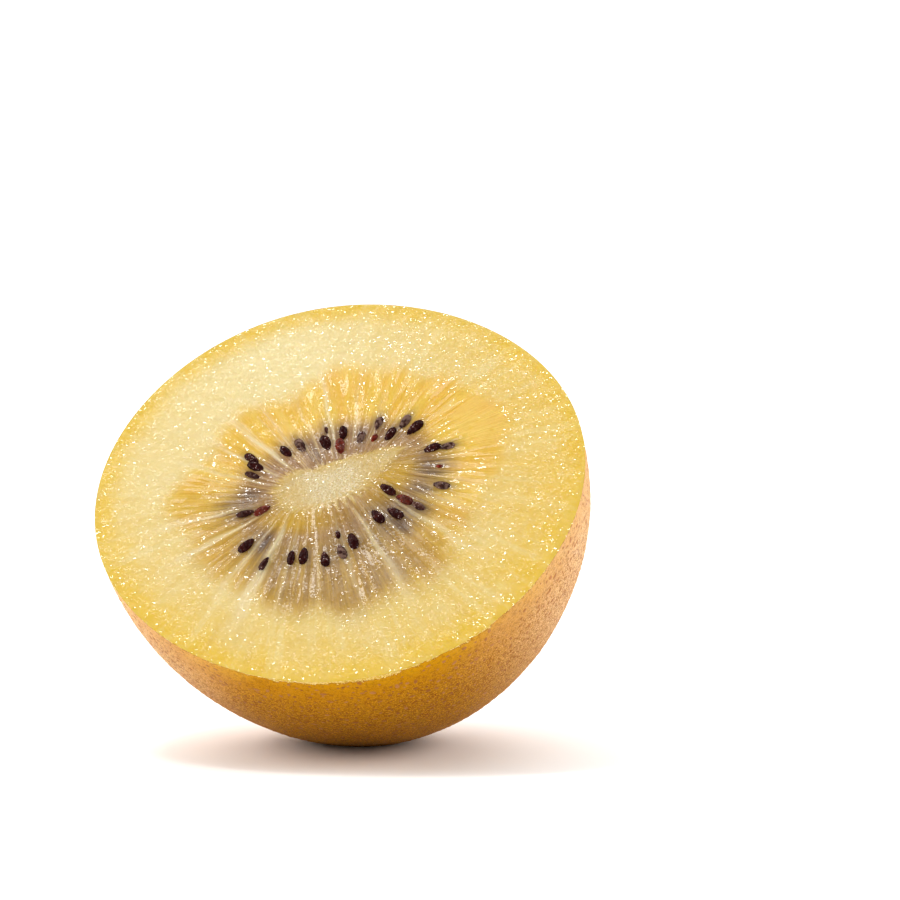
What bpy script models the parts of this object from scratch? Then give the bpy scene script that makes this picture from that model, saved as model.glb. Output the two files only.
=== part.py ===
"""Half of a golden kiwi fruit, cut across its middle and lying on its side with the cut face up to the front.

The fruit grew as one piece, so skin, flesh, core and seeds are one closed solid.
Units are metres, with +Z up. The origin is the middle of the part's box, on the surface that it rests on.
The cut face has its own coordinates: u along its wide way, v along its narrow way, w out of the face.
"""

import math
import random

import bmesh
import bpy
from mathutils import Matrix, Vector
from mathutils.geometry import delaunay_2d_cdt

NAME = "golden_kiwi_half"
MM = 0.001

# The body: half of an egg-shaped fruit, in metres
WIDE_RADIUS = 27.5 * MM
NARROW_RADIUS = 25.3 * MM
DEPTH = 34.0 * MM
PROFILE_POWER = 2.1
# Gentle lobes of its outline: waves round the fruit, share of the radius, angle of the first dent
LOBES = ((3, 0.0050, math.radians(102)), (4, 0.0064, math.radians(57)))

# How the half lies, found by balance: its weight is over the flat spot
FACE_TURN = math.radians(13.7)
FACE_LEAN = math.radians(40.4)
FACE_ROLL = math.radians(8.0)
CUT_CENTRE = Vector((-0.35 * MM, -6.85 * MM, 29.45 * MM))

# The core, a pale oval off the middle of the cut face
CORE_CENTRE = Vector((-0.8 * MM, 1.0 * MM))
CORE_HALF_LENGTH = 7.3 * MM
CORE_HALF_WIDTH = 2.9 * MM
CORE_TURN = math.radians(20)

# Rays fan out from the core, and a locule lies between each two of them
LOCULES = 48
RAY_HEIGHT = 0.16 * MM
LOCULE_SAG = 0.20 * MM
LOCULE_START = 0.02
LOCULE_FULL = 0.14
LOCULE_FADE = 0.26
LOCULE_END = 0.52
FACE_RINGS = (0.05, 0.10, 0.15, 0.20, 0.25, 0.31, 0.38, 0.46, 0.55, 0.68, 0.84)

# Each seed's ray angle in degrees, share of the way from the core to the skin, and relative size
SEEDS = (
    (16.3, 0.290, 0.90), (18.5, 0.209, 1.00), (44.1, 0.227, 1.12), (53.4, 0.243, 0.98), (56.4, 0.133, 0.95),
    (67.4, 0.092, 0.62), (69.2, 0.202, 0.85), (78.4, 0.098, 0.85), (91.3, 0.154, 0.95), (94.0, 0.066, 1.05),
    (101.0, 0.198, 0.55), (103.4, 0.112, 1.12), (118.6, 0.163, 1.00), (128.3, 0.176, 1.00), (144.6, 0.272, 0.95),
    (148.0, 0.212, 1.05), (155.2, 0.185, 0.98), (195.4, 0.152, 1.00), (201.2, 0.059, 0.95), (223.1, 0.280, 1.12),
    (239.5, 0.340, 0.92), (252.6, 0.277, 0.90), (259.3, 0.268, 1.05), (270.3, 0.294, 1.00), (279.1, 0.275, 1.00),
    (279.5, 0.172, 0.62), (286.3, 0.230, 1.12), (305.8, 0.161, 1.08), (315.1, 0.201, 1.08), (326.2, 0.175, 1.05),
    (326.5, 0.071, 1.02), (326.8, 0.257, 0.85), (345.2, 0.290, 1.00), (359.7, 0.238, 0.52),
)
SEED_HALF_LENGTH = 1.12 * MM
SEED_HALF_WIDTH = 0.58 * MM
SEED_HALF_HEIGHT = 0.50 * MM
SEED_TAPER = 0.22
SEED_SUNK = 0.10 * MM
SEED_SIDES = 8
SEED_BANDS = 6

# The skin: raised pores all over, and a corky scar where the stem was
RIM_RINGS = 2
RIM_RING_STEP = math.radians(2.7)
SKIN_POINTS = 1300
GOLDEN_ANGLE = math.pi * (3 - math.sqrt(5))
PORE_HEIGHT = 0.09 * MM
PORE_SHARE = 0.35
SCAR_RADIUS = 5.2 * MM
SCAR_DIMPLE = 0.9 * MM
SCAR_BUTTON_RADIUS = 2.4 * MM
SCAR_BUTTON_HEIGHT = 0.8 * MM
SCAR_ROUGHNESS = 0.12 * MM
SCAR_RING_STEP = 0.9 * MM
SKIN_DRAW = 4

# Colours: base colour, roughness, metallic
FINISHES = {
    "skin": ((0.55, 0.24, 0.03), 0.55, 0.0),
    "flesh": ((0.86, 0.62, 0.14), 0.30, 0.0),
    "core": ((0.84, 0.74, 0.38), 0.40, 0.0),
    "seed": ((0.018, 0.008, 0.012), 0.25, 0.0),
}
SHARP_ANGLE = math.radians(42)


def smooth_step(low, high, value):
    """0 below low, 1 above high, with a soft start and end."""
    share = min(max((value - low) / (high - low), 0.0), 1.0)
    return share * share * (3 - 2 * share)


def face_frame():
    """The matrix from the face's coordinates (u, v, w) to the part's."""
    out = Vector((
        -math.sin(FACE_TURN) * math.cos(FACE_LEAN),
        -math.cos(FACE_TURN) * math.cos(FACE_LEAN),
        math.sin(FACE_LEAN),
    ))
    level = Vector((math.cos(FACE_TURN), -math.sin(FACE_TURN), 0.0))
    upward = out.cross(level)
    wide = math.cos(FACE_ROLL) * level + math.sin(FACE_ROLL) * upward
    narrow = out.cross(wide)
    turn = Matrix((wide, narrow, out)).transposed()
    return Matrix.Translation(CUT_CENTRE) @ turn.to_4x4()


def lobe_factor(angle):
    """How far the outline stands out at an angle, as a share of the plain oval's radius."""
    return 1 - sum(size * math.cos(waves * (angle - dent)) for waves, size, dent in LOBES)


def rim_point(angle):
    """A point of the cut edge, in the plane of the face."""
    factor = lobe_factor(angle)
    return Vector((WIDE_RADIUS * math.cos(angle), NARROW_RADIUS * math.sin(angle))) * factor


def core_point(angle):
    """The point of the core's edge where the ray of that angle starts."""
    along = CORE_HALF_LENGTH * math.cos(angle - CORE_TURN)
    across = CORE_HALF_WIDTH * math.sin(angle - CORE_TURN)
    return CORE_CENTRE + Matrix.Rotation(CORE_TURN, 2) @ Vector((along, across))


def face_point(angle, share):
    """The point on a ray, from share 0 at the core to 1 at the skin."""
    return core_point(angle).lerp(rim_point(angle), share)


def locule_depth(share):
    """How fully the soft ring of locules has sunk, from 0 to 1, along a ray."""
    return smooth_step(LOCULE_START, LOCULE_FULL, share) - smooth_step(LOCULE_FADE, LOCULE_END, share)


def face_height(angle, share):
    """Relief of the cut face: the ring of locules sags, and the rays stand up in it."""
    ray = (1 + math.cos(LOCULES * angle)) / 2
    return locule_depth(share) * (RAY_HEIGHT * ray - LOCULE_SAG)


def body_point(polar, angle):
    """A point of the plain body, from polar 0 at the stem end to a right angle at the cut edge."""
    reach = math.sin(polar) ** (2 / PROFILE_POWER)
    depth = max(math.cos(polar), 0.0) ** (2 / PROFILE_POWER)
    plan = rim_point(angle) * reach
    return Vector((plan.x, plan.y, -DEPTH * depth))


def scar_height(distance):
    """The stem scar's relief at a distance from the fruit's axis: a dimple with a corky button in it."""
    dimple = SCAR_DIMPLE * (1 - smooth_step(0, 1.6 * SCAR_RADIUS, distance))
    button = SCAR_BUTTON_HEIGHT * (1 - smooth_step(0.7 * SCAR_BUTTON_RADIUS, SCAR_BUTTON_RADIUS, distance))
    return button - dimple


def skin_point(polar, angle, draw, pores=True):
    """A point of the skin, with the pores' and the scar's relief."""
    point = body_point(polar, angle)
    distance = math.hypot(point.x, point.y)
    lift = 0.0
    if distance < SCAR_RADIUS:
        lift += draw.uniform(-SCAR_ROUGHNESS, SCAR_ROUGHNESS)
    elif pores and draw.random() < PORE_SHARE:
        lift += PORE_HEIGHT
    point += point.normalized() * lift
    point.z -= scar_height(distance)
    return point


def skin_places():
    """Polar and angle of the skin's points: rings inside the rim, a golden spiral, rings on the scar."""
    sectors = 2 * LOCULES
    places = []
    for ring in range(1, RIM_RINGS + 1):
        for step in range(sectors):
            turn = 2 * math.pi * (step + 0.5 * (ring % 2)) / sectors
            places.append((math.pi / 2 - ring * RIM_RING_STEP, turn))
    edge = math.pi / 2 - (RIM_RINGS + 0.8) * RIM_RING_STEP
    scar_polar = SCAR_RADIUS / WIDE_RADIUS
    for index in range(SKIN_POINTS):
        polar = math.acos(1 - (index + 0.5) / SKIN_POINTS * (1 - math.cos(edge)))
        if polar > scar_polar:
            places.append((polar, index * GOLDEN_ANGLE))
    rings = round(SCAR_RADIUS / SCAR_RING_STEP)
    for ring in range(1, rings + 1):
        count = 6 * ring
        for step in range(count):
            turn = 2 * math.pi * (step + 0.5 * (ring % 2)) / count
            places.append((scar_polar * (ring - 0.4) / rings, turn))
    places.append((0.0, 0.0))
    return places


def add_skin(bm, rim):
    """Fills the rim's far side with the skin."""
    draw = random.Random(SKIN_DRAW)
    places = [(math.pi / 2, 2 * math.pi * step / len(rim)) for step in range(len(rim))]
    places += skin_places()
    verts = list(rim)
    for polar, angle in places[len(rim):]:
        near_rim = polar > math.pi / 2 - (RIM_RINGS + 0.5) * RIM_RING_STEP
        verts.append(bm.verts.new(skin_point(polar, angle, draw, pores=not near_rim)))
    plan = [Vector((polar * math.cos(angle), polar * math.sin(angle))) for polar, angle in places]
    _, _, triangles, sources, _, _ = delaunay_2d_cdt(plan, [], [], 0, 1e-7)
    for corners in triangles:
        face = bm.faces.new([verts[sources[corner][0]] for corner in reversed(corners)])
        face.material_index = 0


def add_cut_face(bm, rim):
    """Fills the rim's near side with the flesh, ring by ring, and the core in the middle."""
    sectors = len(rim)
    outer = rim
    for share in reversed((0.0,) + FACE_RINGS):
        inner = []
        for step in range(sectors):
            angle = 2 * math.pi * step / sectors
            plan = face_point(angle, share)
            inner.append(bm.verts.new((plan.x, plan.y, face_height(angle, share))))
        for step in range(sectors):
            after = (step + 1) % sectors
            face = bm.faces.new((inner[step], outer[step], outer[after], inner[after]))
            face.material_index = 1
        outer = inner
    core = bm.faces.new(outer)
    core.material_index = 2


def cut_flat_spot(bm):
    """Takes off what lies below the surface that the part rests on, and closes the cut."""
    geometry = list(bm.verts) + list(bm.edges) + list(bm.faces)
    cut = bmesh.ops.bisect_plane(
        bm, geom=geometry, plane_co=(0, 0, 0), plane_no=(0, 0, -1), clear_outer=True)
    edges = [item for item in cut["geom_cut"] if isinstance(item, bmesh.types.BMEdge)]
    for item in cut["geom_cut"]:
        if isinstance(item, bmesh.types.BMVert):
            item.co.z = 0.0
    bmesh.ops.holes_fill(bm, edges=edges, sides=0)


def make_material(name):
    """A Principled material with one of the named finishes."""
    colour, roughness, metallic = FINISHES[name]
    material = bpy.data.materials.new(name)
    material.use_nodes = True
    shader = material.node_tree.nodes["Principled BSDF"]
    shader.inputs["Base Color"].default_value = (*colour, 1.0)
    shader.inputs["Roughness"].default_value = roughness
    shader.inputs["Metallic"].default_value = metallic
    material.diffuse_color = (*colour, 1.0)
    return material


def make_body():
    """The half fruit without its seeds."""
    bm = bmesh.new()
    sectors = 2 * LOCULES
    rim = []
    for step in range(sectors):
        edge = rim_point(2 * math.pi * step / sectors)
        rim.append(bm.verts.new((edge.x, edge.y, 0.0)))
    add_skin(bm, rim)
    add_cut_face(bm, rim)
    bmesh.ops.transform(bm, matrix=face_frame(), verts=bm.verts)
    cut_flat_spot(bm)
    bmesh.ops.recalc_face_normals(bm, faces=bm.faces)
    bmesh.ops.triangulate(bm, faces=bm.faces)
    mesh = bpy.data.meshes.new(NAME)
    bm.to_mesh(mesh)
    bm.free()
    body = bpy.data.objects.new(NAME, mesh)
    bpy.context.scene.collection.objects.link(body)
    for name in ("skin", "flesh", "core"):
        mesh.materials.append(make_material(name))
    return body


def make_seed(name, angle, share, size, material):
    """One seed: a drop shape lying along its ray, with its narrow end to the core."""
    bm = bmesh.new()
    bmesh.ops.create_uvsphere(bm, u_segments=SEED_SIDES, v_segments=SEED_BANDS, radius=1.0)
    for vert in bm.verts:
        narrow = 1 + SEED_TAPER * vert.co.z
        vert.co = Vector((
            vert.co.z * SEED_HALF_LENGTH,
            vert.co.x * SEED_HALF_WIDTH * narrow,
            vert.co.y * SEED_HALF_HEIGHT * narrow,
        )) * size
    plan = face_point(angle, share)
    ray = rim_point(angle) - core_point(angle)
    height = face_height(angle, share) - SEED_SUNK
    place = Matrix.Translation((plan.x, plan.y, height))
    turn = Matrix.Rotation(math.atan2(ray.y, ray.x), 4, "Z")
    bmesh.ops.transform(bm, matrix=face_frame() @ place @ turn, verts=bm.verts)
    bmesh.ops.recalc_face_normals(bm, faces=bm.faces)
    mesh = bpy.data.meshes.new(name)
    bm.to_mesh(mesh)
    bm.free()
    mesh.materials.append(material)
    return bpy.data.objects.new(name, mesh)


def fuse_seeds(body):
    """Grows the seeds into the flesh with one union, and removes their own objects."""
    seeds = bpy.data.collections.new("seeds")
    bpy.context.scene.collection.children.link(seeds)
    material = make_material("seed")
    for number, (degrees, share, size) in enumerate(SEEDS):
        seeds.objects.link(make_seed(f"seed_{number}", math.radians(degrees), share, size, material))
    union = body.modifiers.new("seeds", "BOOLEAN")
    union.operation = "UNION"
    union.solver = "EXACT"
    union.operand_type = "COLLECTION"
    union.collection = seeds
    union.material_mode = "TRANSFER"
    bpy.context.view_layer.objects.active = body
    with bpy.context.temp_override(object=body, active_object=body, selected_objects=[body]):
        bpy.ops.object.modifier_apply(modifier=union.name)
    for seed in list(seeds.objects):
        bpy.data.objects.remove(seed)
    bpy.data.collections.remove(seeds)


def finish(body):
    """Splits what the union left into triangles, and shades the round surfaces smooth."""
    bm = bmesh.new()
    bm.from_mesh(body.data)
    bmesh.ops.triangulate(bm, faces=bm.faces)
    bm.to_mesh(body.data)
    bm.free()
    body.data.shade_smooth()
    body.data.set_sharp_from_angle(angle=SHARP_ANGLE)


for old in list(bpy.data.objects):
    bpy.data.objects.remove(old)
half = make_body()
fuse_seeds(half)
finish(half)
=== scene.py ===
"""The looks of a halved golden kiwi fruit on the frame: skin, pores, wet flesh with its rays, and seeds.

The fruit's lengths are in millimetres, in the cut face's own coordinates: u along its wide way, v along its
narrow way and w out of the face. The camera's and the lights' places are in metres. A point on the face is
named by its ray's angle and its share of the way from the core to the skin. The last number in each call of
lattice_noise and round_noise is its seed.
"""

import math

import bpy
import numpy as np
from mathutils import Matrix, Vector
from mathutils.geometry import delaunay_2d_cdt


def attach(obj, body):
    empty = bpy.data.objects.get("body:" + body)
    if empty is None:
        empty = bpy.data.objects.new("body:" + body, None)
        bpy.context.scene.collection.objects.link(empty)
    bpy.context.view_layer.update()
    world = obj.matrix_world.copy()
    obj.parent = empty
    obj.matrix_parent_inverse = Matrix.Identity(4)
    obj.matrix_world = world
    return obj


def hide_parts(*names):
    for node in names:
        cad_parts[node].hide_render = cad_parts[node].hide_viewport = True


NODE = "golden_kiwi_half"
MM = 0.001

# The fruit's driving sizes, as in the frame's source
WIDE_RADIUS = 27.5
NARROW_RADIUS = 25.3
DEPTH = 34.0
PROFILE_POWER = 2.1
LOBES = ((3, 0.0050, math.radians(102)), (4, 0.0064, math.radians(57)))
FACE_TURN = math.radians(13.7)
FACE_LEAN = math.radians(40.4)
FACE_ROLL = math.radians(8.0)
CUT_CENTRE = Vector((-0.35, -6.85, 29.45)) * MM
CORE_CENTRE = (-0.8, 1.0)
CORE_HALF_LENGTH = 7.3
CORE_HALF_WIDTH = 2.9
CORE_TURN = math.radians(20)
LOCULES = 48
RAY_HEIGHT = 0.16
LOCULE_SAG = 0.20
LOCULE_SPAN = (0.02, 0.14, 0.26, 0.52)
SCAR_RADIUS = 5.2
SCAR_DIMPLE = 0.9
SCAR_BUTTON_RADIUS = 2.4
SCAR_BUTTON_HEIGHT = 0.8

# Each seed's ray angle in degrees, share of the way from the core to the skin, relative size and look: d for
# dark, s for smooth, n for narrow, f for under a film, r for red and unripe, m for mottled red
SEEDS = (
    (16.3, 0.290, 0.90, "f"), (18.5, 0.209, 1.00, "d"), (44.1, 0.227, 1.12, "d"),
    (53.4, 0.243, 0.98, "f"), (56.4, 0.133, 0.95, "d"), (67.4, 0.092, 0.62, "r"),
    (69.2, 0.202, 0.85, "f"), (78.4, 0.098, 0.85, "f"), (91.3, 0.154, 0.95, "d"),
    (94.0, 0.066, 1.05, "m"), (101.0, 0.198, 0.55, "n"), (103.4, 0.112, 1.12, "d"),
    (118.6, 0.163, 1.00, "f"), (128.3, 0.176, 1.00, "d"), (144.6, 0.272, 0.95, "d"),
    (148.0, 0.212, 1.05, "d"), (155.2, 0.185, 0.98, "n"), (195.4, 0.152, 1.00, "n"),
    (201.2, 0.059, 0.95, "m"), (223.1, 0.280, 1.12, "s"), (239.5, 0.340, 0.92, "n"),
    (252.6, 0.277, 0.90, "d"), (259.3, 0.268, 1.05, "d"), (270.3, 0.294, 1.00, "d"),
    (279.1, 0.275, 1.00, "f"), (279.5, 0.172, 0.62, "d"), (286.3, 0.230, 1.12, "d"),
    (305.8, 0.161, 1.08, "d"), (315.1, 0.201, 1.08, "d"), (326.2, 0.175, 1.05, "m"),
    (326.5, 0.071, 1.02, "d"), (326.8, 0.257, 0.85, "f"), (345.2, 0.290, 1.00, "f"),
    (359.7, 0.238, 0.52, "r"),
)
# Each look's grey film, its red, and how much of its dark shines through the flesh round it
SEED_LOOKS = {
    "d": (0.0, 0.0, 0.8), "s": (0.0, 0.0, 0.8), "n": (0.15, 0.0, 0.8),
    "f": (0.7, 0.0, 1.2), "r": (0.0, 1.0, 0.2), "m": (0.15, 0.5, 0.6),
}
SEED_HALF_SIZES = (1.12, 0.54, 0.50)
SEED_NARROWING = 0.78
SEED_SUNK = 0.10
# Seeds that lie deeper in the flesh and only shine through: ray angle in degrees, share
SUNK_SEEDS = ((113.7, 0.053), (172.9, 0.122), (353.8, 0.196), (340.0, 0.20), (312.0, 0.27), (233.0, 0.20))
SUNK_SHADE = 1.3
# How white each ray's fibres are, from 0 to 9, ray by ray
RAY_WHITENESS = "785443333345675549756776555665578655566877866778"
# Broad pale rays that run on into the outer flesh: ray angle in degrees, width in degrees, reach, strength
PALE_RAYS = (
    (240, 2.6, 0.80, 1.0), (229, 1.8, 0.75, 0.5), (252, 1.5, 0.70, 0.25), (266, 1.1, 0.66, 0.12),
    (281, 1.0, 0.70, 0.35), (296, 1.6, 0.72, 0.75), (309, 1.2, 0.66, 0.3), (322, 1.5, 0.70, 0.6),
    (336, 1.2, 0.62, 0.3), (135, 2.1, 0.62, 1.0), (147, 1.3, 0.60, 0.8), (160, 1.6, 0.66, 0.6),
    (98, 1.2, 0.64, 0.9), (84, 1.0, 0.56, 0.6), (110, 1.0, 0.52, 0.5), (72, 1.0, 0.50, 0.4),
    (190, 1.6, 0.72, 0.6), (207, 2.0, 0.78, 0.7),
)
# The pale core's outline: angle in degrees round its centre, and radius
CORE_OUTLINE = (
    (14, 6.5), (26, 9.0), (42, 5.1), (73, 2.7), (105, 2.4), (139, 2.9), (168, 6.0), (184, 6.8),
    (203, 6.7), (217, 6.3), (239, 4.2), (285, 3.1), (321, 3.5), (359, 4.8),
)
PORE_COUNT = 6400
# How far towards the sides the skin starts to pale under a painted sheen, and where that sheen is strongest
SIDE_SHEEN_SPAN = (9.0, 29.0)

# The photograph's camera
PHOTO_SIZE = 900
CUT_CENTRE_PIXEL = (339.2, 488.0)
FOCAL_PIXELS = 5416
CAMERA_DISTANCE = 0.600
CAMERA_HEIGHT = math.radians(6)
SENSOR_WIDTH = 36.0

# Spacing of the points of the meshes, and the mean lengths that they are spread along: from the core's
# middle to its edge, from there to the skin, and from the stem end round to the cut
FINE_STEP = 0.12
COARSE_STEP = 0.205
SKIN_STEP = 0.23
CORE_REACH = 4.6
FLESH_REACH = 21.4
SKIN_ARC = 47
SEED_SIDES = 34
SEED_RINGS = 44
NOISE_VALUES = 65536


def smooth_step(low, high, value):
    """0 below low, 1 above high, with a soft start and end."""
    share = np.clip((value - low) / (high - low), 0, 1)
    return share * share * (3 - 2 * share)


def lattice_noise(points, size, seed):
    """Smooth random values from 0 to 1 in cells of a size, for points in two or three dimensions."""
    table = np.random.default_rng(seed).random(NOISE_VALUES)
    cell = np.floor(points / size).astype(np.int64)
    inside = points / size - cell
    inside = inside * inside * (3 - 2 * inside)
    primes = np.array((73856093, 19349663, 83492791))[:points.shape[1]]
    total = np.zeros(len(points))
    for corner in range(2 ** points.shape[1]):
        step = np.array([(corner >> axis) & 1 for axis in range(points.shape[1])])
        key = np.bitwise_xor.reduce((cell + step) * primes, axis=1) & (NOISE_VALUES - 1)
        weight = np.where(step, inside, 1 - inside).prod(axis=1)
        total += weight * table[key]
    return total


def lobe_factor(angle):
    """How far the outline stands out at an angle, as a share of the plain oval's radius."""
    return 1 - sum(size * np.cos(waves * (angle - dent)) for waves, size, dent in LOBES)


def rim_points(angle):
    """Points of the cut edge, in the plane of the face."""
    oval = np.stack((WIDE_RADIUS * np.cos(angle), NARROW_RADIUS * np.sin(angle)), axis=-1)
    return oval * lobe_factor(angle)[..., None]


def core_points(angle):
    """The points of the core's edge where the rays start."""
    along = CORE_HALF_LENGTH * np.cos(angle - CORE_TURN)
    across = CORE_HALF_WIDTH * np.sin(angle - CORE_TURN)
    turn_cos, turn_sin = math.cos(CORE_TURN), math.sin(CORE_TURN)
    plan = np.stack((turn_cos * along - turn_sin * across, turn_sin * along + turn_cos * across), axis=-1)
    return plan + CORE_CENTRE


def face_points(angle, share):
    """Points on the rays: share -1 is the core's middle, 0 its edge and 1 the skin."""
    core = core_points(angle)
    outside = core + np.clip(share, 0, 1)[..., None] * (rim_points(angle) - core)
    return outside + np.clip(share, -1, 0)[..., None] * (core - CORE_CENTRE)


def locule_depth(share):
    """How fully the soft ring of locules has sunk, from 0 to 1, along a ray."""
    start, full, fade, end = LOCULE_SPAN
    return smooth_step(start, full, share) - smooth_step(fade, end, share)


def place_matrix():
    """The matrix from the face's coordinates, in millimetres, to the frame's metres."""
    out = Vector((
        -math.sin(FACE_TURN) * math.cos(FACE_LEAN),
        -math.cos(FACE_TURN) * math.cos(FACE_LEAN),
        math.sin(FACE_LEAN),
    ))
    level = Vector((math.cos(FACE_TURN), -math.sin(FACE_TURN), 0.0))
    upward = out.cross(level)
    wide = math.cos(FACE_ROLL) * level + math.sin(FACE_ROLL) * upward
    narrow = out.cross(wide)
    turn = Matrix((wide, narrow, out)).transposed()
    return Matrix.Translation(CUT_CENTRE) @ turn.to_4x4() @ Matrix.Scale(MM, 4)


PLACE = np.array(place_matrix())


def to_frame(points):
    """Points in the frame from the face's coordinates, none of them below the ground."""
    placed = points @ PLACE[:3, :3].T + PLACE[:3, 3]
    placed[:, 2] = np.maximum(placed[:, 2], 0.0)
    return placed


def make_piece(name, points, faces, values):
    """A smooth mesh object from points in face coordinates, with its named values stored on its points."""
    mesh = bpy.data.meshes.new(name)
    mesh.from_pydata(to_frame(points).tolist(), [], faces)
    for key, data in values.items():
        data = np.asarray(data, dtype=np.float32)
        kind, field = ("FLOAT", "value") if data.ndim == 1 else ("FLOAT_VECTOR", "vector")
        mesh.attributes.new(key, kind, "POINT").data.foreach_set(field, data.ravel())
    mesh.shade_smooth()
    piece = bpy.data.objects.new(name, mesh)
    bpy.context.scene.collection.objects.link(piece)
    return piece


def triangulate(plan):
    """Triangles over points in a plane, counter-clockwise."""
    result = delaunay_2d_cdt([Vector(point) for point in plan], [], [], 0, 1e-7)
    sources = result[3]
    return [[sources[corner][0] for corner in triangle] for triangle in result[2]]


def ring_places(radii, lengths, steps):
    """Angles and radii of points on rings, given each ring's radius, length and step between points."""
    angles, places = [], []
    for number, (radius, length, step) in enumerate(zip(radii, lengths, steps)):
        count = max(6, round(length / step))
        angles.append(2 * math.pi * (np.arange(count) + 0.5 * (number % 2)) / count)
        places.append(np.full(count, radius))
    return np.concatenate(angles), np.concatenate(places)


def bell(angle, middle, width):
    """1 at a middle angle and less round it, with the middle and the width in degrees."""
    offset = (angle - math.radians(middle) + math.pi) % (2 * math.pi) - math.pi
    return np.exp(-(offset / np.radians(width)) ** 2)


def round_noise(angle, size, seed):
    """Smooth random values from -0.5 to 0.5 round the circle, in cells of a size in radians."""
    return lattice_noise(np.column_stack((np.cos(angle) + 3, np.sin(angle) + 3)), size, seed) - 0.5


def ring_border(angle):
    """How far out the golden ring of locules reaches at an angle."""
    lobes = 0.10 * round_noise(angle, 0.5, 71) + 0.10 * round_noise(angle, 0.14, 72)
    bulges = 0.09 * bell(angle, 276, 45) + 0.05 * bell(angle, 60, 30) + 0.10 * bell(angle, 20, 25)
    return 0.55 + lobes + bulges


def ray_strength(angle):
    """How strong the nearest ray's fibres are, from 0 to 1."""
    ray = np.round(angle * LOCULES / (2 * math.pi)).astype(int) % LOCULES
    return np.array([int(digit) for digit in RAY_WHITENESS])[ray] / 9


def face_relief(angle, share, plan):
    """Relief of the cut face: the sagging ring of locules, its rays, juice cells and the edge's rounding."""
    moved = angle + 0.10 * round_noise(angle, 0.35, 24)
    ray = ((1 + np.cos(LOCULES * moved)) / 2) ** 1.5 * ray_strength(angle) ** 2
    sag = locule_depth(share) * (0.8 * RAY_HEIGHT * ray - LOCULE_SAG)
    cells = lattice_noise(plan, 0.45, 21) - 0.5
    swell = lattice_noise(plan, 1.6, 22) - 0.5
    core = 0.05 * (lattice_noise(plan, 0.30, 23) - 0.5)
    outside = smooth_step(-0.1, 0.1, share)
    edge = -0.01 * smooth_step(0.99, 1.0, share)
    flesh = (0.035 * cells + 0.07 * swell) * (1 - smooth_step(0.97, 1.0, share))
    return sag + outside * flesh + (1 - outside) * core + edge


def seed_shade(plan):
    """How much of the seeds' dark shines through the flesh at each point, from 0 up."""
    spots = [(degrees, share, SEED_LOOKS[look][2]) for degrees, share, _, look in SEEDS]
    spots += [(degrees, share, SUNK_SHADE) for degrees, share in SUNK_SEEDS]
    shade = np.zeros(len(plan))
    for degrees, share, strength in spots:
        angle, share = np.array(math.radians(degrees)), np.array(share)
        centre = face_points(angle, share)
        ray = rim_points(angle) - core_points(angle)
        ray /= np.linalg.norm(ray)
        along = (plan - centre) @ ray
        across = (plan - centre) @ np.array((-ray[1], ray[0]))
        shade += strength * np.exp(-((along - 0.25) / 1.35) ** 2 - (across / 0.62) ** 2)
    return shade


def fibre_whiteness(angle, share):
    """White fibres along the rays, each with its own strength, width, bend and reach, and fainter below."""
    draw = np.random.default_rng(31)
    white = np.zeros(len(angle))
    for ray, digit in enumerate(RAY_WHITENESS):
        for strand in range(2):
            middle = 2 * math.pi * (ray + draw.uniform(-0.5, 0.5)) / LOCULES
            width = math.radians(draw.uniform(0.50, 1.20))
            reach = draw.uniform(0.14, 0.34) + 0.22 * (int(digit) / 9) ** 3
            strength = 1.2 * (int(digit) / 9) ** 2 * draw.random() ** 1.5
            bend = 0.05 * draw.uniform(-1, 1)
            offset = (angle - middle - bend * share + math.pi) % (2 * math.pi) - math.pi
            along = smooth_step(-0.05, 0.08, share) * (1 - smooth_step(reach - 0.2, reach + 0.1, share))
            white += strength * along * np.exp(-(offset / width) ** 2)
    below = bell(angle, 270, 45) * smooth_step(0.12, 0.26, share)
    return np.clip(white, 0, 1.2) * (1 - 0.65 * below)


def pale_rays(angle, share):
    """How pale the broad rays make the flesh, with frayed sides."""
    pale = np.zeros(len(angle))
    for middle, width, reach, strength in PALE_RAYS:
        along = smooth_step(0.02, 0.15, share) * (1 - smooth_step(reach - 0.35, reach + 0.12, share))
        frayed = angle + math.radians(0.5) * np.sin(23 * share + middle)
        pale += strength * along * bell(frayed, middle, width * (0.6 + 0.7 * share))
    return np.clip(pale, 0, 1)


def core_inset(angle, plan):
    """How far in millimetres each point lies inside the pale core, which has a comb of teeth below."""
    degrees, radii = np.array(CORE_OUTLINE).T
    offset = plan - CORE_CENTRE
    around = np.degrees(np.arctan2(offset[:, 1], offset[:, 0])) % 360
    radius = np.interp(around, degrees, radii, period=360)
    moved = angle + 0.06 * round_noise(angle, 0.2, 25)
    tooth = ((1 + np.cos(LOCULES * moved)) / 2) ** 2
    lower = bell(angle, 270, 75)
    return radius - np.hypot(offset[:, 0], offset[:, 1]) + lower * (1.1 * tooth - 0.4)


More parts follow.
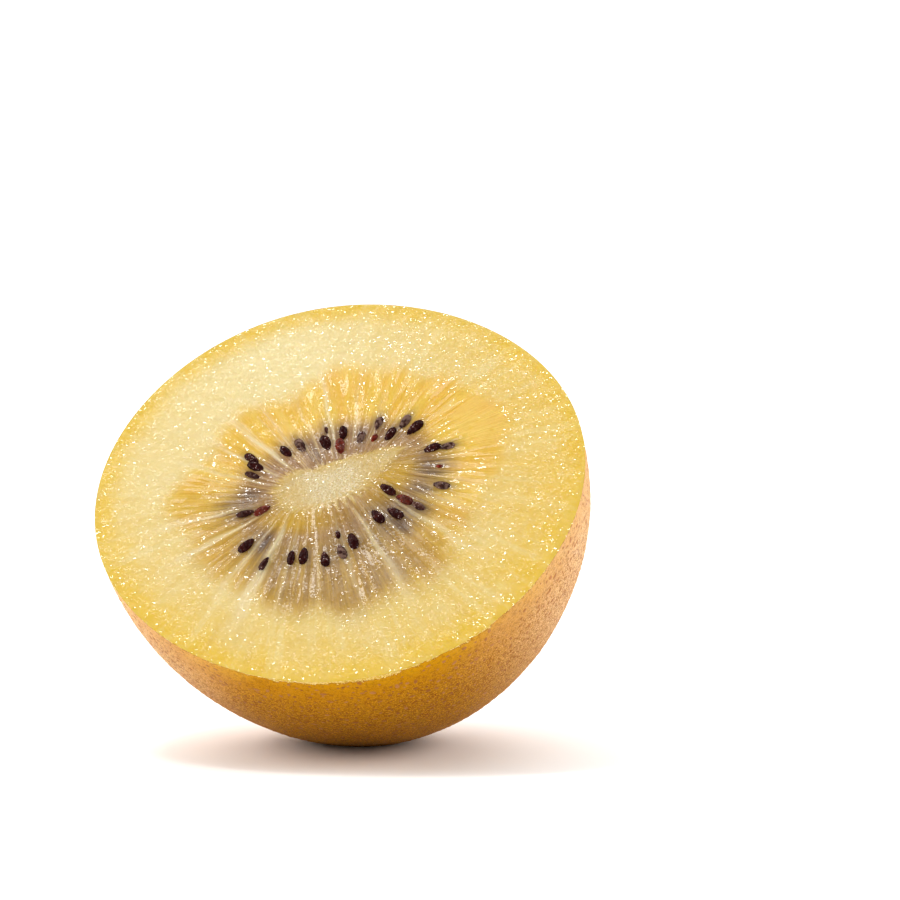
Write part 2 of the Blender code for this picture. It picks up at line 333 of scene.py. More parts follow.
def face_values(angle, share, plan):
    """The values that the flesh's material needs at points of the face."""
    border = ring_border(angle)
    outside = smooth_step(0.40, 0.60, share)
    # Painted sheen: the outer flesh made whiter on its upper side and a little at the left
    pale = outside * (0.9 * bell(angle, 108, 42) + 0.35 * bell(angle, 170, 30))
    pale = pale * (1 - smooth_step(0.82, 1.0, share))
    wet = 0.30 + outside * (0.40 * bell(angle, 110, 45) + 0.25 * bell(angle, 10, 60))
    wet_ends = 0.5 * bell(angle, 170, 30) + 0.5 * bell(angle, 0, 30)
    wet = wet + (1 - outside) * smooth_step(0.05, 0.15, share) * wet_ends
    ring = smooth_step(-0.20, -0.08, share) * (1 - smooth_step(border - 0.16, border + 0.08, share))
    olive = ring * smooth_step(0.10, 0.28, share) * (1.3 * bell(angle, 274, 50) + 0.35 * bell(angle, 200, 30))
    below = np.maximum(bell(angle, 245, 40), bell(angle, 345, 40))
    pocket = below * (1 - smooth_step(0.07, 0.19, share))
    edge = smooth_step(0.90, 1.0, share) * (0.3 + 0.9 * bell(angle, 270, 70))
    glassy = bell(angle, 317, 22) + 0.9 * bell(angle, 2, 12)
    glassy = glassy + 0.7 * bell(angle, 186, 14) + 0.7 * bell(angle, 232, 16)
    glassy = glassy * smooth_step(0.03, 0.12, share) * (1 - smooth_step(0.24, 0.40, share))
    calm = bell(angle, 24, 12) * smooth_step(0.36, 0.44, share)
    along = np.abs((plan - CORE_CENTRE) @ np.array((math.cos(CORE_TURN), math.sin(CORE_TURN))))
    return {
        "share": share,
        "ray": np.column_stack((np.cos(angle), np.sin(angle), share)),
        "ring": ring,
        "olive": np.clip(olive, 0, 1),
        "pocket": np.clip(pocket, 0, 1),
        "glassy": np.clip(glassy, 0, 1),
        "pale": pale,
        "amber": smooth_step(0.30, 0.60, share) * bell(angle, 5, 45),
        "rays": pale_rays(angle, share),
        "wet": np.clip(wet + edge, 0, 1),
        "calm": np.clip(1.6 * calm, 0, 1),
        "core": np.clip(core_inset(angle, plan), -2, 2),
        "tip": smooth_step(1.5, 4.5, along),
        "shade": seed_shade(plan),
        "fibre": fibre_whiteness(angle, share),
    }


def make_flesh():
    """The cut face, with its core, as one mesh, finest where the fibres and seeds are."""
    core_length = 2 * math.pi * math.sqrt((CORE_HALF_LENGTH ** 2 + CORE_HALF_WIDTH ** 2) / 2)
    rim_length = 2 * math.pi * math.sqrt(WIDE_RADIUS * NARROW_RADIUS)
    shares, steps = [-0.985], [FINE_STEP]
    while shares[-1] < 1:
        step = FINE_STEP + (COARSE_STEP - FINE_STEP) * float(smooth_step(0.40, 0.55, shares[-1]))
        shares.append(shares[-1] + step / (CORE_REACH if shares[-1] < 0 else FLESH_REACH))
        steps.append(step)
    shares = np.array(shares[:-1] + [1.0])
    lengths = np.where(
        shares < 0, core_length * (1 + shares), core_length + (rim_length - core_length) * shares)
    angle, share = ring_places(shares, lengths, np.array(steps))
    plan = face_points(angle, share)
    values = face_values(angle, share, plan)
    height = face_relief(angle, share, plan) + 0.08 * values["fibre"] * locule_depth(share)
    points = np.column_stack((plan, height))
    values["place"] = points
    ray = rim_points(angle) - core_points(angle)
    across = np.column_stack((-ray[:, 1], ray[:, 0], np.zeros(len(ray))))
    across /= np.hypot(ray[:, 0], ray[:, 1])[:, None]
    values["across"] = across @ PLACE[:3, :3].T / MM
    return make_piece("kiwi_flesh", points, triangulate(plan), values)


def body_points(polar, angle):
    """Points of the plain body, from polar 0 at the stem end to a right angle at the cut edge."""
    reach = np.sin(polar) ** (2 / PROFILE_POWER)
    depth = np.maximum(np.cos(polar), 0.0) ** (2 / PROFILE_POWER)
    plan = rim_points(angle) * reach[:, None]
    return np.column_stack((plan, -DEPTH * depth))


def scar_height(distance):
    """The stem scar's relief: a dimple with a corky button in it."""
    dimple = SCAR_DIMPLE * (1 - smooth_step(0, 1.6 * SCAR_RADIUS, distance))
    button = SCAR_BUTTON_HEIGHT * (1 - smooth_step(0.7 * SCAR_BUTTON_RADIUS, SCAR_BUTTON_RADIUS, distance))
    return button - dimple


def skin_surface(polar, angle):
    """Points of the skin, with its scar and its fine unevenness."""
    points = body_points(polar, angle)
    distance = np.hypot(points[:, 0], points[:, 1])
    scurf = lattice_noise(points, 0.5, 41) - 0.5
    swell = lattice_noise(points, 4.0, 42) - 0.5
    cork = 1 - smooth_step(0.7 * SCAR_RADIUS, 1.1 * SCAR_RADIUS, distance)
    near_cut = smooth_step(0, 0.8, -points[:, 2])
    lift = near_cut * (0.02 * scurf + 0.10 * swell) + 0.35 * cork * (lattice_noise(points, 0.8, 43) - 0.5)
    points *= (1 + lift / np.linalg.norm(points, axis=1))[:, None]
    points[:, 2] -= scar_height(distance)
    return points, cork


def bared_depth(angle):
    """How far down from the cut edge the knife has bared the flesh at an angle."""
    waver = 0.10 + 0.55 * round_noise(angle, 0.25, 81) + 0.40 * round_noise(angle, 0.05, 82)
    return np.clip(waver, 0.02, None) + 0.20 * bell(angle, 280, 7)


def sideways(points):
    """How far points lie towards the fruit's sides, which get a painted sheen, less so on its upper side."""
    return points[:, 0] * (1 - 0.55 * smooth_step(0, 14, points[:, 1]))


def make_skin():
    """The skin, from the cut edge round to the stem scar."""
    rings = round(SKIN_ARC / SKIN_STEP)
    polars = np.append((np.arange(rings) + 0.3) / rings, 1.0) * math.pi / 2
    lengths = 2 * math.pi * math.sqrt(WIDE_RADIUS * NARROW_RADIUS) * np.sin(polars)
    angle, polar = ring_places(polars, lengths, np.full(len(polars), SKIN_STEP))
    points, cork = skin_surface(polar, angle)
    plan = polar[:, None] * np.column_stack((np.cos(angle), np.sin(angle)))
    faces = [triangle[::-1] for triangle in triangulate(plan)]
    values = {
        "depth": -points[:, 2],
        "cork": cork,
        "place": points,
        "side": sideways(points),
        "bared": bared_depth(angle) + points[:, 2],
    }
    return make_piece("kiwi_skin", points, faces, values)


def dome_shape(sides, bands):
    """A unit dome: its points and its faces."""
    points = [(0.0, 0.0, 1.0)]
    for band in range(1, bands + 1):
        tilt = math.pi / 2 * band / bands
        for side in range(sides):
            turn = 2 * math.pi * side / sides
            points.append((math.sin(tilt) * math.cos(turn), math.sin(tilt) * math.sin(turn), math.cos(tilt)))
    faces = [(0, 1 + side, 1 + (side + 1) % sides) for side in range(sides)]
    for band in range(bands - 1):
        for side in range(sides):
            low, high = 1 + band * sides, 1 + (band + 1) * sides
            after = (side + 1) % sides
            faces.append((low + side, high + side, high + after, low + after))
    return np.array(points), faces


def scatter(shape, faces, places, turns, sizes):
    """Copies of a shape at places: turns are 3 by 3 axes, and sizes scale along them."""
    count = len(shape)
    points = np.einsum("nij,nkj->nki", turns, shape[None] * sizes[:, None, :]) + places[:, None, :]
    all_faces = []
    for number in range(len(places)):
        start = number * count
        all_faces += [tuple(corner + start for corner in face) for face in faces]
    return points.reshape(-1, 3), all_faces


def ball_shape(around, along):
    """A unit ball with its poles on the x axis: its points and its faces."""
    points, faces = [(-1.0, 0.0, 0.0)], []
    for ring in range(1, along):
        tilt = math.pi * ring / along
        for side in range(around):
            turn = 2 * math.pi * side / around
            points.append((-math.cos(tilt), math.sin(tilt) * math.cos(turn), math.sin(tilt) * math.sin(turn)))
    points.append((1.0, 0.0, 0.0))
    last = len(points) - 1
    for side in range(around):
        after = (side + 1) % around
        faces.append((0, 1 + after, 1 + side))
        for ring in range(along - 2):
            low, high = 1 + ring * around, 1 + (ring + 1) * around
            faces.append((low + side, low + after, high + after, high + side))
        faces.append((last, last - around + side, last - around + after))
    return np.array(points), faces


def make_seeds():
    """All seeds that show, as one mesh of pitted drops half sunk in the flesh, narrow ends to the core."""
    shape, faces = ball_shape(SEED_SIDES, SEED_RINGS)
    draw = np.random.default_rng(51)
    points, all_faces, film, red, body = [], [], [], [], []
    for number, (degrees, share, scale, look) in enumerate(SEEDS):
        angle, share = np.array([math.radians(degrees)]), np.array([share])
        look_film, look_red, _ = SEED_LOOKS[look]
        size = np.array(SEED_HALF_SIZES) * scale * (1.0, SEED_NARROWING if look == "n" else 1.0, 1.0)
        net = np.abs(lattice_noise(shape * size * (0.8, 1.0, 1.0) + 10 * number, 0.22, 52) - 0.5)
        swell = lattice_noise(shape * size + 10 * number, 0.7, 53) - 0.5
        depth = 0.02 if look == "s" else 0.06
        drop = shape * size * (1 - depth * smooth_step(0.04, 0.22, net) + 0.10 * swell)[:, None]
        drop[:, 1:] *= (1 + draw.uniform(0.10, 0.34) * shape[:, :1])
        ray = (rim_points(angle) - core_points(angle))[0]
        turn = math.atan2(ray[1], ray[0]) + draw.uniform(-0.12, 0.12)
        tilt = draw.uniform(-0.12, 0.12)
        axes = np.array(Matrix.Rotation(turn, 3, "Z") @ Matrix.Rotation(tilt, 3, "Y"))
        plan = face_points(angle, share)[0]
        height = locule_depth(share)[0] * -LOCULE_SAG - SEED_SUNK
        start = sum(len(part) for part in points)
        points.append(drop @ axes.T + (plan[0], plan[1], height))
        all_faces += [tuple(corner + start for corner in face) for face in faces]
        film.append(np.full(len(shape), look_film))
        red.append(np.full(len(shape), look_red))
        body.append(shape * size + 10 * number)
    values = {"film": np.concatenate(film), "red": np.concatenate(red), "place": np.concatenate(body)}
    return make_piece("kiwi_seeds", np.concatenate(points), all_faces, values)


def make_pores():
    """The skin's raised brown pores, spread evenly with a seeded shift."""
    draw = np.random.default_rng(61)
    margin = 0.02
    order = np.arange(PORE_COUNT) + 0.5
    polar = np.arccos(1 - order / PORE_COUNT * (1 - math.cos(math.pi / 2 - margin)))
    polar = np.clip(polar + draw.uniform(-0.012, 0.012, PORE_COUNT), margin, math.pi / 2 - margin)
    golden_turn = math.pi * (3 - math.sqrt(5))
    angle = order * golden_turn + draw.uniform(-0.014, 0.014, PORE_COUNT) / np.sin(polar)
    here, cork = skin_surface(polar, angle)
    kept = draw.random(PORE_COUNT) < 0.60 + 0.40 * smooth_step(1.0, 11.0, -here[:, 2])
    polar, angle, here, cork = polar[kept], angle[kept], here[kept], cork[kept]
    east = skin_surface(polar, angle + 0.004 / np.sin(polar))[0] - here
    south = skin_surface(polar - 0.004, angle)[0] - here
    east /= np.linalg.norm(east, axis=1)[:, None]
    out = np.cross(south, east)
    out /= np.linalg.norm(out, axis=1)[:, None]
    out *= np.sign((out * here).sum(axis=1))[:, None]
    spin = draw.uniform(0, math.pi, len(polar))[:, None]
    along = np.cos(spin) * east + np.sin(spin) * np.cross(out, east)
    turns = np.stack((along, np.cross(out, along), out), axis=2)
    near_cut = 1 - smooth_step(2.0, 9.0, -here[:, 2])
    radius = (0.09 + 0.20 * draw.random(len(polar)) ** 2 + 0.07 * near_cut) * (1 - 0.3 * cork)
    sizes = np.column_stack((radius * draw.uniform(1.0, 1.7, len(polar)), radius, 0.018 + 0.12 * radius))
    shape, faces = dome_shape(8, 2)
    points, all_faces = scatter(shape, faces, here - 0.012 * out, turns, sizes)
    values = {
        "height": np.tile(shape[:, 2], len(polar)),
        "own": np.repeat(draw.random(len(polar)), len(shape)),
        "depth": np.repeat(-here[:, 2], len(shape)),
        "side": np.repeat(sideways(here), len(shape)),
        "place": points,
    }
    return make_piece("kiwi_pores", points, all_faces, values)


class Nodes:
    """Short calls for building a node material."""

    def __init__(self, name):
        self.material = bpy.data.materials.new(name)
        self.material.use_nodes = True
        self.tree = self.material.node_tree
        self.shader = self.tree.nodes["Principled BSDF"]

    def add(self, kind, **inputs):
        """A node of a kind with its inputs set or linked."""
        node = self.tree.nodes.new("ShaderNode" + kind)
        self.fill(node, inputs)
        return node

    def fill(self, node, inputs):
        """Sets or links a node's inputs, called by their names or, as i0, i1 and so on, by their places."""
        for key, value in inputs.items():
            by_place = key[0] == "i" and key[1:].isdigit()
            socket = node.inputs[int(key[1:]) if by_place else key.replace("_", " ")]
            if isinstance(value, bpy.types.NodeSocket):
                self.tree.links.new(value, socket)
            else:
                socket.default_value = value

    def value(self, name):
        """A named value stored on the mesh."""
        node = self.tree.nodes.new("ShaderNodeAttribute")
        node.attribute_name = name
        return node.outputs["Fac"]

    def vector(self, name):
        """A named vector stored on the mesh."""
        node = self.tree.nodes.new("ShaderNodeAttribute")
        node.attribute_name = name
        return node.outputs["Vector"]

    def math(self, operation, first, second=0.0, clamp=False):
        """One step of arithmetic on numbers."""
        node = self.add("Math", i0=first, i1=second)
        node.operation = operation
        node.use_clamp = clamp
        return node.outputs[0]

    def times(self, first, second, clamp=False):
        """Two numbers multiplied."""
        return self.math("MULTIPLY", first, second, clamp)

    def vectors(self, operation, first, second=(0.0, 0.0, 0.0)):
        """One step of arithmetic on vectors."""
        node = self.add("VectorMath", i0=first, i1=second)
        node.operation = operation
        return node.outputs[0]

    def stretch(self, vector, scale):
        """A vector scaled along its axes."""
        return self.vectors("MULTIPLY", vector, scale)

    def noise(self, vector, scale, detail=2.0, roughness=0.5):
        """Noise from 0 to 1."""
        node = self.add("TexNoise", Vector=vector, Scale=scale, Detail=detail, Roughness=roughness)
        return node.outputs["Fac"]

    def cells(self, vector, scale, output="Distance"):
        """A cell pattern: the distance to the cell's own point, or a colour for each cell."""
        node = self.add("TexVoronoi", Vector=vector, Scale=scale)
        return node.outputs[output]

    def between(self, value, low, high, to_low=0.0, to_high=1.0):
        """A value's range mapped smoothly to another."""
        node = self.add("MapRange", i0=value, i1=low, i2=high, i3=to_low, i4=to_high)
        node.interpolation_type = "SMOOTHSTEP"
        return node.outputs[0]

    def ramp(self, value, stops):
        """Colours along a value."""
        node = self.add("ValToRGB", Fac=value)
        elements = node.color_ramp.elements
        while len(elements) < len(stops):
            elements.new(0.5)
        for element, (position, colour) in zip(elements, stops):
            element.position = position
            element.color = (*colour, 1.0)
        return node.outputs[0]

    def mix(self, share, first, second, blend="MIX"):
        """Two colours mixed."""
        node = self.tree.nodes.new("ShaderNodeMix")
        node.data_type = "RGBA"
        node.blend_type = blend
        sockets = {0: share, 6: first, 7: second}
        for index, value in sockets.items():
            if isinstance(value, bpy.types.NodeSocket):
                self.tree.links.new(value, node.inputs[index])
            else:
                node.inputs[index].default_value = value if index == 0 else (*value, 1.0)
        return node.outputs[2]

    def bump(self, height, distance, strength):
        """A normal bent by a height, where a height of 1 stands for a distance in metres."""
        return self.add("Bump", Height=height, Distance=distance, Strength=strength).outputs[0]


def linear(code):
    """A colour written as six hexadecimal digits, in linear light."""
    parts = [int(code[start:start + 2], 16) / 255 for start in (0, 2, 4)]
    return tuple(part / 12.92 if part <= 0.04045 else ((part + 0.055) / 1.055) ** 2.4 for part in parts)


# The juice's own colour, over all of the flesh
JUICE_TINT = (0.77, 0.72, 0.54)
# Colours laid over the flesh in streaks along the rays: the value that says where, the range of the streaks'
# noise with how much of the colour shows at each end of it, and the colour
STREAKED_COLOURS = (
    ("olive", (0.35, 0.65, 0.98, 0.70), "A27C2C"),
    ("glassy", (0.35, 0.62, 0.95, 0.55), "6C503A"),
    ("pocket", (0.35, 0.65, 1.00, 0.80), "D8AE16"),
    ("rays", (0.35, 0.65, 0.60, 0.95), "FAEED2"),
)


def outer_colour(n, share, ray, wander, blotch):
    """The outer flesh: pale next to the ring and yellower towards the skin, in soft spokes and blotches."""
    moved = n.math("ADD", share, n.times(n.math("SUBTRACT", wander, 0.5), 0.25))
    colour = n.ramp(moved, (
        (0.45, linear("ECD07E")), (0.66, linear("F0D47A")), (0.82, linear("F2D264")),
        (0.91, linear("F4D03C")), (1.00, linear("F2CA1C")),
    ))
    colour = n.mix(n.between(blotch, 0.42, 0.72, 0.0, 0.6), colour, linear("F4DE9C"))
    spokes = n.noise(n.stretch(ray, (15.0, 15.0, 1.2)), 1.0, 3.0, 0.6)
    colour = n.mix(n.between(spokes, 0.50, 0.68, 0.0, 0.45), colour, linear("F8EAB4"))
    colour = n.mix(n.between(spokes, 0.46, 0.34, 0.0, 0.30), colour, linear("E2BE4C"))
    # Painted sheen on the upper and left outer flesh
    colour = n.mix(n.value("pale"), colour, linear("FBEDBE"))
    amber = n.times(n.value("amber"), n.between(spokes, 0.35, 0.65, 0.55, 0.25))
    colour = n.mix(amber, colour, linear("F8CE34"))
    return n.mix(n.between(share, 0.86, 0.99, 0.0, 0.55), colour, linear("F6D018"))


def ring_colour(n, share, wander, streak, fine):
    """The golden ring of locules, browner round the seeds."""
    gold = n.mix(n.between(wander, 0.35, 0.65), linear("F6C436"), linear("FAD450"))
    gold = n.mix(n.between(streak, 0.58, 0.78, 0.0, 0.22), gold, linear("F6DE90"))
    inner = n.mix(n.between(fine, 0.40, 0.66), linear("926636"), linear("B48A50"))
    return n.mix(n.between(share, 0.30, 0.14, 0.0, 0.95), gold, inner)


def fibre_amount(n, share, wander, fine):
    """How much the white fibres show, with fine strands between them."""
    strands = n.times(n.between(fine, 0.56, 0.66), n.value("ring"))
    strands = n.times(strands, n.between(wander, 0.45, 0.62))
    strands = n.times(strands, n.between(share, 0.36, 0.12, 0.0, 0.5))
    fibre = n.times(n.value("fibre"), n.between(fine, 0.40, 0.60, 0.20, 1.0))
    fibre = n.math("MAXIMUM", fibre, strands)
    fibre = n.times(fibre, n.between(n.value("pocket"), 0.1, 0.9, 1.0, 0.15))
    return n.times(fibre, n.between(share, 0.0, 0.12, 0.55, 0.85), True)


def core_colour(n, grain):
    """The pale grainy core, yellower at its edge and at both ends."""
    colour = n.ramp(grain, ((0.36, linear("D0B680")), (0.5, linear("E8D4A8")), (0.62, linear("FCF6E6"))))
    colour = n.mix(n.between(n.value("core"), 1.9, 0.1, 0.0, 0.70), colour, linear("DAB650"))
    return n.mix(n.times(n.value("tip"), 0.6), colour, linear("DAB650"))


def juice_normal(n, ray, place, wander):
    """The wet coat's normal, in facets that each tilt their own way, so that some catch the lamp.

    In the ring they tilt mostly across the rays, which makes dashes along them.
    """
    dry = n.between(n.value("wet"), 0.2, 0.9, 1.4, 0.60)
    glint_bead = n.cells(n.stretch(place, (4.6, 12.5, 3.0)), 1.0, "Color")
    glint_bead = n.stretch(n.vectors("SUBTRACT", glint_bead, (0.5, 0.5, 0.5)), dry)
    dash = n.math("SUBTRACT", n.cells(n.stretch(ray, (36.0, 36.0, 8.0)), 1.0, "Color"), 0.5)
    dash = n.stretch(n.vector("across"), n.times(dash, 1.9))
    dash = n.vectors("ADD", dash, n.stretch(glint_bead, (0.3, 0.3, 0.3)))
    still = n.math("GREATER_THAN", n.math("ADD", n.value("calm"), n.times(wander, 0.6)), 0.75)
    dash = n.stretch(dash, n.between(still, 0.0, 1.0, 1.0, 0.04))
    tilt = n.tree.nodes.new("ShaderNodeMix")
    tilt.data_type = "VECTOR"
    n.fill(tilt, {"i0": n.between(n.value("ring"), 0.2, 0.8), "i4": glint_bead, "i5": dash})
    plain = n.add("NewGeometry").outputs["Normal"]
    return n.vectors("NORMALIZE", n.vectors("ADD", plain, tilt.outputs[1]))


def flesh_material():
    """Wet yellow flesh: pale core, golden ring with white fibres and dark shine, pale outer flesh with a
    painted sheen.
    """
    n = Nodes("kiwi_flesh")
    share, ray, place = n.value("share"), n.vector("ray"), n.vector("place")
    wander = n.noise(n.stretch(ray, (7.0, 7.0, 2.0)), 1.0, 3.0)
    streak = n.noise(n.stretch(ray, (30.0, 30.0, 2.0)), 1.0, 3.0, 0.6)
    fine = n.noise(n.stretch(ray, (75.0, 75.0, 4.0)), 1.0, 2.0, 0.6)
    feather = n.noise(n.stretch(ray, (24.0, 24.0, 2.5)), 1.0, 3.0, 0.65)
    blotch = n.noise(place, 0.22, 3.0)
    grain = n.noise(place, 5.0, 3.0, 0.8)
    ring = n.math("ADD", n.value("ring"), n.times(n.math("SUBTRACT", wander, 0.5), 0.7))
    ring = n.times(n.between(ring, 0.0, 0.9), n.between(n.value("ring"), 0.0, 0.25))
    outer = outer_colour(n, share, ray, wander, blotch)
    colour = n.mix(ring, outer, ring_colour(n, share, wander, streak, fine))
    for name, spread, code in STREAKED_COLOURS:
        amount = n.times(n.value(name), n.between(streak, *spread))
        colour = n.mix(amount, colour, linear(code))
    shade = n.times(n.value("shade"), n.between(streak, 0.3, 0.7, 1.0, 0.5), True)
    colour = n.mix(n.times(shade, 0.85), colour, linear("5A3A20"))
    colour = n.mix(fibre_amount(n, share, wander, fine), colour, linear("EACC9A"))
    core = n.math("ADD", n.value("core"), n.times(n.math("SUBTRACT", feather, 0.5), 3.0))
    core = n.between(core, -0.65, 0.65)
    colour = n.mix(core, colour, core_colour(n, grain))
    colour = n.mix(1.0, colour, JUICE_TINT, "MULTIPLY")
    ridges = n.times(n.value("ring"), n.math("ADD", fine, n.times(streak, 0.8)))
    relief = n.math("ADD", n.times(ridges, 0.6), n.times(core, n.times(grain, 1.2)))
    normal = n.bump(n.math("ADD", relief, n.times(blotch, 0.5)), 0.00010, 0.8)
    n.fill(n.shader, {
        "Base_Color": colour, "Roughness": 0.45, "Normal": normal,
        "Coat_Normal": juice_normal(n, ray, place, wander),
        "Subsurface_Weight": 0.30, "Subsurface_Radius": (1.0, 0.62, 0.18), "Subsurface_Scale": 0.0012,
        "Coat_Weight": 1.0, "Coat_Roughness": 0.075, "Coat_IOR": 1.5, "Specular_IOR_Level": 0.2,
    })
    return n.material


def skin_material():
    """Thin golden brown skin: painted glow under the cut, mottled and browner further down with some painted
    shade, corky at the scar.
    """
    n = Nodes("kiwi_skin")
    place, depth, cork = n.vector("place"), n.value("depth"), n.value("cork")
    mottle = n.noise(place, 2.0, 4.0, 0.8)
    cloud = n.noise(place, 0.14, 3.0, 0.5)
    deep = n.math("ADD", depth, n.times(n.math("SUBTRACT", cloud, 0.5), 9.0))
    # Down from the cut: a painted glow of light through the flesh, then darker, partly own brown and partly
    # painted shade
    base = n.ramp(n.math("DIVIDE", deep, DEPTH), (
        (0.00, linear("CE9400")), (0.08, linear("BC7E00")),
        (0.25, linear("A46C02")), (1.00, linear("9C640A")),
    ))
    # Painted sheen: towards both sides the skin, its brown mottle and its light grain turn paler and pinker
    side = n.math("ADD", n.value("side"), n.times(n.math("SUBTRACT", cloud, 0.75), 6.0))
    painted_side_sheen = n.between(n.math("ABSOLUTE", side), *SIDE_SHEEN_SPAN)
    base = n.mix(n.times(painted_side_sheen, 0.85), base, linear("DFAE78"))
    brown = n.between(mottle, 0.50, 0.57)
    amount = n.between(deep, 0.0, 8.0, 0.40, 0.90)
    colour = n.mix(n.times(brown, amount), base, n.mix(painted_side_sheen, linear("8A4C08"), linear("96561F")))
    scurf = n.noise(place, 5.5, 2.0, 0.8)
    # A light grain, partly dust on the skin and partly a painted sheen on its tiny bumps
    dust_and_sheen = n.times(n.between(scurf, 0.53, 0.58), n.between(deep, 0.5, 7.0, 0.35, 0.95))
    colour = n.mix(dust_and_sheen, colour, n.mix(painted_side_sheen, linear("D89820"), linear("FAD8AC")))
    colour = n.mix(n.times(cork, n.between(mottle, 0.3, 0.6, 0.6, 1.0)), colour, linear("6B4526"))
    ragged = n.math("ADD", n.noise(place, 1.6, 3.0, 0.7), n.times(scurf, 0.3))
    bared = n.math("ADD", n.value("bared"), n.times(n.math("SUBTRACT", ragged, 0.65), 1.5))
    colour = n.mix(n.between(bared, -0.18, -0.03, 0.0, 0.85), colour, linear("9C5A0C"))
    bared_colour = n.mix(n.between(scurf, 0.45, 0.60), linear("D2A838"), linear("F0D88C"))
    colour = n.mix(n.between(bared, -0.03, 0.05), colour, bared_colour)
    height = n.math("ADD", n.times(mottle, 0.7), n.times(scurf, 0.6))
    normal = n.bump(height, 0.00016, 1.0)
    n.fill(n.shader, {
        "Base_Color": colour, "Roughness": 0.55, "Normal": normal,
        "Subsurface_Weight": 0.15, "Subsurface_Radius": (1.0, 0.4, 0.05), "Subsurface_Scale": 0.0010,
        "Sheen_Weight": 0.05, "Sheen_Roughness": 0.25, "Sheen_Tint": (1.0, 0.84, 0.74, 1.0),
        "Specular_IOR_Level": 0.03,
    })
    return n.material


def pore_material():
    """Brown pores, paler towards their edge."""
    n = Nodes("kiwi_pores")
    height, own, place = n.value("height"), n.value("own"), n.vector("place")
    brown = n.mix(own, linear("92541A"), linear("BC7E46"))
    grain = n.noise(place, 6.0, 2.0, 0.6)
    brown = n.mix(n.between(grain, 0.4, 0.7, 0.0, 0.5), brown, linear("84500E"))
    # The skin's painted side sheen, paling the pores and their rims at the sides
    painted_side_sheen = n.between(n.math("ABSOLUTE", n.value("side")), *SIDE_SHEEN_SPAN)
    brown = n.mix(n.times(painted_side_sheen, 0.6), brown, linear("B06C36"))
    # Rims in the skin's colour, with its painted glow near the cut and darker further down
    edge = n.mix(n.between(n.value("depth"), 0.0, 9.0), linear("BC7E04"), linear("A06A0C"))
    edge = n.mix(n.times(painted_side_sheen, 0.8), edge, linear("DEA86C"))
    colour = n.mix(n.between(height, 0.05, 0.9), edge, brown)
    normal = n.bump(grain, 0.00006, 0.7)
    n.fill(n.shader, {"Base_Color": colour, "Roughness": 0.55, "Normal": normal, "Specular_IOR_Level": 0.12})
    return n.material


def seed_material():
    """Near-black wet seeds with painted highlight specks, some under a grey film and some unripe and red."""
    n = Nodes("kiwi_seeds")
    place = n.vector("place")
    tone = n.noise(place, 1.4, 3.0, 0.6)
    dark = n.mix(n.between(tone, 0.44, 0.74), linear("260504"), linear("421610"))
    red = n.mix(n.times(n.value("red"), n.between(tone, 0.40, 0.60, 0.3, 1.0)), dark, linear("86260E"))
    film = n.times(n.value("film"), n.between(n.noise(place, 2.0, 2.0), 0.40, 0.62, 0.1, 1.0))
    colour = n.mix(film, red, linear("84685A"))
    # Painted highlights: pale specks on the seeds' lighter parts
    glint_bead = n.times(n.between(n.cells(place, 4.0), 0.30, 0.18), n.between(tone, 0.53, 0.61, 0.0, 0.70))
    colour = n.mix(glint_bead, colour, linear("D8C4BC"))
    normal = n.bump(n.noise(place, 6.0, 2.0, 0.6), 0.00006, 1.0)
    speck = n.vectors("SUBTRACT", n.cells(place, 6.5, "Color"), (0.5, 0.5, 0.5))
    speck = n.stretch(speck, (0.7, 0.7, 0.7))
    glint = n.vectors("NORMALIZE", n.vectors("ADD", n.add("NewGeometry").outputs["Normal"], speck))
    n.fill(n.shader, {
        "Base_Color": colour, "Roughness": 0.5, "Normal": normal, "Coat_Normal": glint,
        "Coat_Weight": 0.14, "Coat_Roughness": 0.05, "Specular_IOR_Level": 0.0,
    })
    return n.material


def floor_material():
    """A plain pale floor."""
    n = Nodes("floor")
    grain = n.noise(n.add("TexCoord").outputs["Object"], 40.0, 2.0)
    n.fill(n.shader, {"Base_Color": n.mix(grain, (0.95, 0.95, 0.95), (0.97, 0.97, 0.97)), "Roughness": 0.8})
    return n.material


def make_floor():
    """A wide round floor, which isn't part of the object."""
    radius, sides = 9.0, 96
    mesh = bpy.data.meshes.new("floor")
    ring = [(radius * math.cos(2 * math.pi * i / sides), radius * math.sin(2 * math.pi * i / sides), 0.0)
            for i in range(sides)]
    mesh.from_pydata(ring, [], [list(range(sides))])
    floor = bpy.data.objects.new("floor", mesh)
    bpy.context.scene.collection.objects.link(floor)
    mesh.materials.append(floor_material())


def look_at(item, target):
    """Turns an object so that it looks at a point."""
    item.rotation_euler = (Vector(target) - item.location).to_track_quat("-Z", "Y").to_euler()


def make_camera():
    """The photograph's camera: the cut face's centre falls on its pixel."""
    back = Vector((0.0, -math.cos(CAMERA_HEIGHT), math.sin(CAMERA_HEIGHT)))
    up = Vector((0.0, math.sin(CAMERA_HEIGHT), math.cos(CAMERA_HEIGHT)))
    camera = bpy.data.objects.new("camera", bpy.data.cameras.new("camera"))
    bpy.context.scene.collection.objects.link(camera)
    camera.data.sensor_width = SENSOR_WIDTH
    camera.data.lens = FOCAL_PIXELS / PHOTO_SIZE * SENSOR_WIDTH
    camera.data.clip_start = 0.01
    camera.data.clip_end = 50.0
    camera.location = CUT_CENTRE + CAMERA_DISTANCE * back
    pixel = CAMERA_DISTANCE / FOCAL_PIXELS
    right_by = (PHOTO_SIZE / 2 - CUT_CENTRE_PIXEL[0]) * pixel
    up_by = (CUT_CENTRE_PIXEL[1] - PHOTO_SIZE / 2) * pixel
    look_at(camera, CUT_CENTRE + Vector((right_by, 0.0, 0.0)) + up_by * up)
    bpy.context.scene.camera = camera


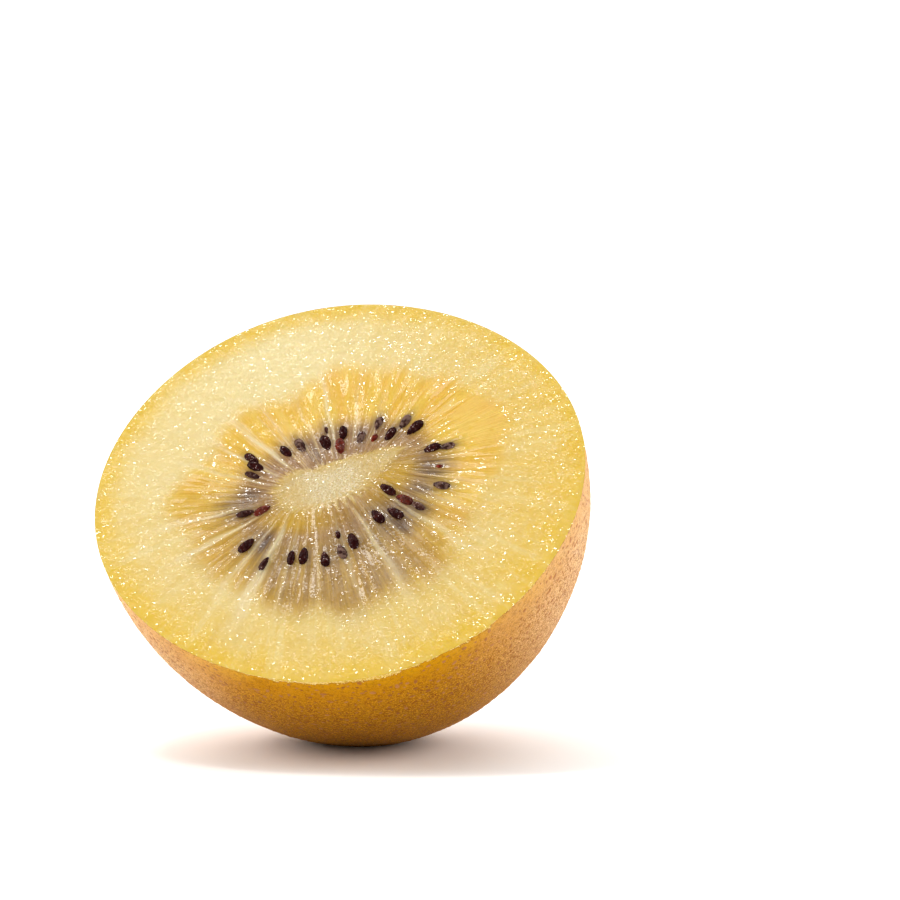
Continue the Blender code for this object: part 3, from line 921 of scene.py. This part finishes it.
# The surround is dimmer on the camera's side and brighter behind the fruit
SURROUND_FADE = (0.1, 0.9)
SURROUND_LIGHT = (0.48, 1.65)
SUN_PLACE = (-0.08, 0.42, 0.90)
SUN_STRENGTH = 1.4
SUN_ANGLE = math.radians(90)
# Each lamp's name, place, width, height, watts and colour
LIGHTS = (
    ("top", (-0.27, 0.04, 0.96), 0.14, 0.14, 2.1, (1.0, 1.0, 1.0)),
    ("left", (-0.68, 0.12, 0.36), 0.40, 0.45, 3.6, (1.0, 0.98, 0.95)),
    ("right", (0.68, 0.08, 0.36), 0.40, 0.45, 2.9, (1.0, 0.98, 0.95)),
)


def make_lights():
    """A broad sun from behind and above, a small lamp, a soft box on each side and a surround."""
    sun = bpy.data.objects.new("sun", bpy.data.lights.new("sun", "SUN"))
    bpy.context.scene.collection.objects.link(sun)
    sun.data.energy = SUN_STRENGTH
    sun.data.angle = SUN_ANGLE
    sun.location = SUN_PLACE
    look_at(sun, (0.0, 0.0, 0.0))
    for name, place, width, height, watts, colour in LIGHTS:
        light = bpy.data.objects.new(name, bpy.data.lights.new(name, "AREA"))
        bpy.context.scene.collection.objects.link(light)
        light.data.shape = "RECTANGLE"
        light.data.size = width
        light.data.size_y = height
        light.data.energy = watts
        light.data.color = colour
        light.location = place
        look_at(light, (0.0, 0.0, 0.02))
    world = bpy.data.worlds.new("surround")
    world.use_nodes = True
    tree = world.node_tree
    direction = tree.nodes.new("ShaderNodeTexCoord")
    split = tree.nodes.new("ShaderNodeSeparateXYZ")
    fade = tree.nodes.new("ShaderNodeMapRange")
    fade.interpolation_type = "SMOOTHSTEP"
    for socket, value in zip(fade.inputs, (0.0, *SURROUND_FADE, *SURROUND_LIGHT)):
        socket.default_value = value
    tree.links.new(direction.outputs["Generated"], split.inputs[0])
    tree.links.new(split.outputs["Y"], fade.inputs["Value"])
    tree.links.new(fade.outputs[0], tree.nodes["Background"].inputs["Strength"])
    tree.nodes["Background"].inputs["Color"].default_value = (1.0, 1.0, 1.0, 1.0)
    bpy.context.scene.world = world
    bpy.context.scene.view_settings.view_transform = "Standard"


def dress(piece, material):
    """Gives a piece its material and its place in the frame."""
    piece.data.materials.append(material)
    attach(piece, "root")
    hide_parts(NODE)


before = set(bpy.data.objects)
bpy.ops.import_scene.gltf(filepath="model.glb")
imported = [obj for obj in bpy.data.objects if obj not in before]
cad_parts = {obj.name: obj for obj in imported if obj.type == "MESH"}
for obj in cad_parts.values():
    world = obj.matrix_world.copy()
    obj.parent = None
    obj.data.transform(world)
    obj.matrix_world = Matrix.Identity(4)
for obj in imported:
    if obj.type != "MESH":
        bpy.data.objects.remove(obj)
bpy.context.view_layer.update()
make_camera()
make_lights()
make_floor()
dress(make_flesh(), flesh_material())
dress(make_skin(), skin_material())
dress(make_pores(), pore_material())
dress(make_seeds(), seed_material())
